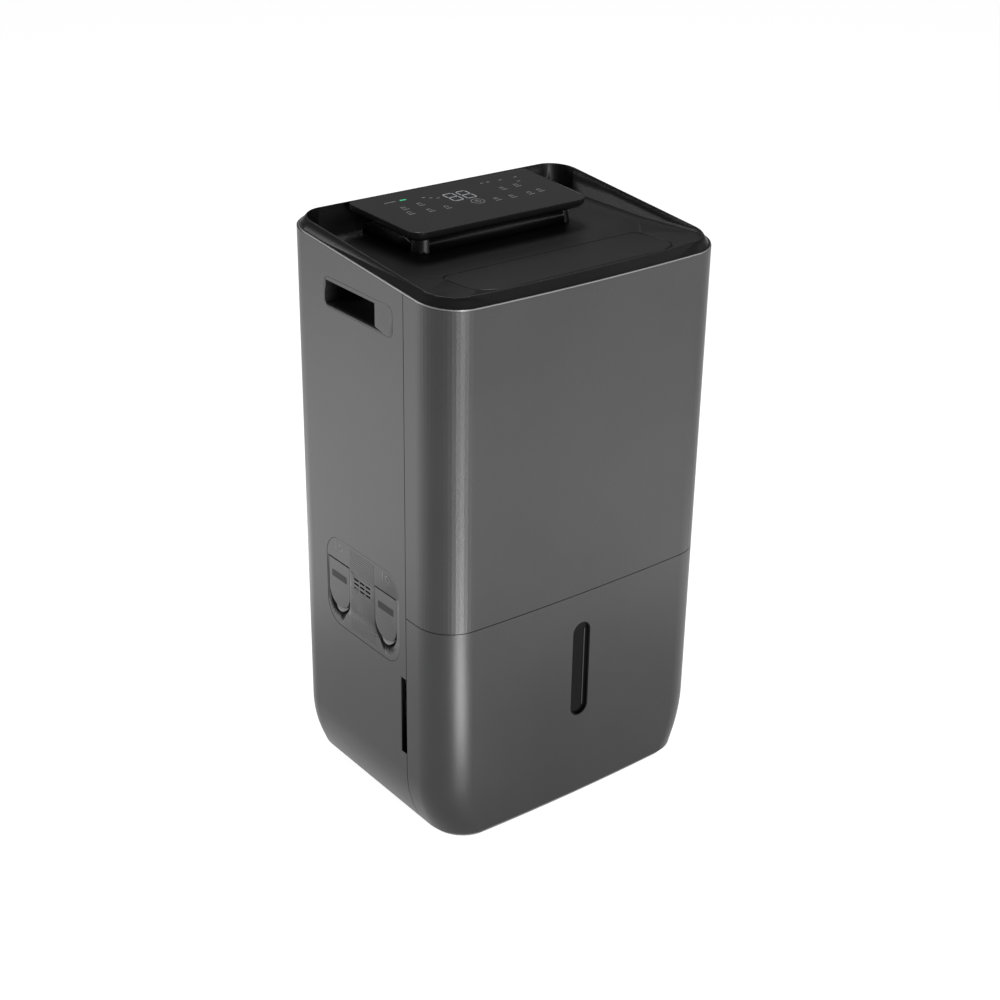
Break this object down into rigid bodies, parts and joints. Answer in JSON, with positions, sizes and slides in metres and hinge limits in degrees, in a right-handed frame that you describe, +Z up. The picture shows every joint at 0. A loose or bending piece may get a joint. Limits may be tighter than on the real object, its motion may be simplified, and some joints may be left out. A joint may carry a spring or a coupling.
{
  "type": "dehumidifier",
  "caption": "Portable compressor dehumidifier on casters, with a front pull-out water tank, a top louvre and a floating touch panel.",
  "frame": {"origin": "centre of the footprint on the floor, under the casters", "axes": "+Z up, -Y out of the front with the tank, +X to the right seen from the front"},
  "size_m": [0.337, 0.257, 0.6005],
  "materials": {
    "case_plastic": "satin graphite",
    "black_plastic": "fine-grained black",
    "slab_plastic": "satin black",
    "panel_glass": "dark tinted gloss",
    "chassis_plastic": "moulded grey",
    "clear_plastic": "translucent",
    "foam": "moulded foam",
    "wheel_plastic": "hard black",
    "fork_steel": "zinc plated",
    "motor_steel": "plain",
    "fin_aluminium": "fine fins",
    "copper": "drawn copper",
    "black_enamel": "black enamel",
    "rubber": "plain",
    "pump_plastic": "off-white",
    "board": "solder mask",
    "mesh": "fine woven"
  },
  "bodies": {
    "case": {"accumulator": "black_enamel", "base_tray": "chassis_plastic", "case_screws": "motor_steel", "compressor": "black_enamel", "compressor_mounts": "rubber", "condenser_fins": "fin_aluminium", "condenser_tubes": "copper", "control_board": "board", "control_panel_base": "slab_plastic", "control_panel_glass": "panel_glass", "control_pedestal": "black_plastic", "cord_gland": "black_plastic", "display_board": "board", "drain_hose": "rubber", "drain_spigot": "black_plastic", "drip_tray": "chassis_plastic", "evaporator_fins": "fin_aluminium", "evaporator_tubes": "copper", "fan_motor": "motor_steel", "fan_scroll": "chassis_plastic", "filter_drier": "copper", "front_panel": "case_plastic", "handle_cup_left": "case_plastic", "handle_cup_right": "case_plastic", "humidity_sensor": "chassis_plastic", "louvre_motor": "motor_steel", "mid_shelf": "chassis_plastic", "outlet_duct": "chassis_plastic", "outlet_grille": "black_plastic", "pump_connector": "black_plastic", "pump_hose": "rubber", "rear_case": "case_plastic", "refrigerant_pipes": "copper", "run_capacitor": "motor_steel", "service_panel": "case_plastic", "tank_bulkhead": "chassis_plastic", "tank_switch": "chassis_plastic", "top_cover": "black_plastic", "water_pump": "pump_plastic"},
    "tank": {"tank_front": "case_plastic", "tank_window": "panel_glass", "tank_tub": "clear_plastic", "tank_lid": "chassis_plastic"},
    "bail": {"tank_handle": "chassis_plastic"},
    "float": {"tank_float": "foam"},
    "louvre_leaf": {"louvre": "black_plastic"},
    "pump_flap_leaf": {"pump_flap": "case_plastic"},
    "drain_flap_leaf": {"drain_flap": "case_plastic"},
    "blower": {"blower_wheel": "chassis_plastic"},
    "filter": {"rear_grille": "black_plastic", "filter_frame": "black_plastic", "filter_mesh": "mesh"},
    "swivel_front_left": {"caster_fork_front_left": "fork_steel"},
    "wheel_front_left": {"caster_wheel_front_left": "wheel_plastic"},
    "swivel_front_right": {"caster_fork_front_right": "fork_steel"},
    "wheel_front_right": {"caster_wheel_front_right": "wheel_plastic"},
    "swivel_rear_left": {"caster_fork_rear_left": "fork_steel"},
    "wheel_rear_left": {"caster_wheel_rear_left": "wheel_plastic"},
    "swivel_rear_right": {"caster_fork_rear_right": "fork_steel"},
    "wheel_rear_right": {"caster_wheel_rear_right": "wheel_plastic"}
  },
  "joints": [
    {"name": "tank_slide", "type": "slide", "parent": "case", "child": "tank", "axis": [0, -1, 0], "range_m": [0, 0.2]},
    {"name": "bail_hinge", "type": "hinge", "parent": "tank", "child": "bail", "pos_m": [0, -0.06, 0.193], "axis": [1, 0, 0], "range_deg": [0, 90]},
    {"name": "float_hinge", "type": "hinge", "parent": "tank", "child": "float", "pos_m": [0, -0.035, 0.168], "axis": [1, 0, 0], "range_deg": [0, 12]},
    {"name": "louvre_hinge", "type": "hinge", "parent": "case", "child": "louvre_leaf", "pos_m": [0, -0.059, 0.57213], "axis": [-1, 0, 0], "range_deg": [0, 60]},
    {"name": "pump_flap_hinge", "type": "hinge", "parent": "case", "child": "pump_flap_leaf", "pos_m": [-0.1672, 0.0465, 0.2609], "axis": [0, 1, 0], "range_deg": [0, 100]},
    {"name": "drain_flap_hinge", "type": "hinge", "parent": "case", "child": "drain_flap_leaf", "pos_m": [-0.1672, -0.034, 0.2609], "axis": [0, 1, 0], "range_deg": [0, 100]},
    {"name": "blower_spin", "type": "hinge", "parent": "case", "child": "blower", "pos_m": [0, -0.07, 0.396], "axis": [0, 1, 0], "continuous": true},
    {"name": "filter_slide", "type": "slide", "parent": "case", "child": "filter", "axis": [0, 1, 0], "range_m": [0, 0.12]},
    {"name": "swivel_turn_front_left", "type": "hinge", "parent": "case", "child": "swivel_front_left", "pos_m": [-0.08, -0.078, 0.034], "axis": [0, 0, 1], "continuous": true},
    {"name": "wheel_spin_front_left", "type": "hinge", "parent": "swivel_front_left", "child": "wheel_front_left", "pos_m": [-0.08, -0.069, 0.013], "axis": [1, 0, 0], "continuous": true},
    {"name": "swivel_turn_front_right", "type": "hinge", "parent": "case", "child": "swivel_front_right", "pos_m": [0.08, -0.078, 0.034], "axis": [0, 0, 1], "continuous": true},
    {"name": "wheel_spin_front_right", "type": "hinge", "parent": "swivel_front_right", "child": "wheel_front_right", "pos_m": [0.08, -0.069, 0.013], "axis": [1, 0, 0], "continuous": true},
    {"name": "swivel_turn_rear_left", "type": "hinge", "parent": "case", "child": "swivel_rear_left", "pos_m": [-0.08, 0.08, 0.034], "axis": [0, 0, 1], "continuous": true},
    {"name": "wheel_spin_rear_left", "type": "hinge", "parent": "swivel_rear_left", "child": "wheel_rear_left", "pos_m": [-0.08, 0.089, 0.013], "axis": [1, 0, 0], "continuous": true},
    {"name": "swivel_turn_rear_right", "type": "hinge", "parent": "case", "child": "swivel_rear_right", "pos_m": [0.08, 0.08, 0.034], "axis": [0, 0, 1], "continuous": true},
    {"name": "wheel_spin_rear_right", "type": "hinge", "parent": "swivel_rear_right", "child": "wheel_rear_right", "pos_m": [0.08, 0.089, 0.013], "axis": [1, 0, 0], "continuous": true}
  ]
}
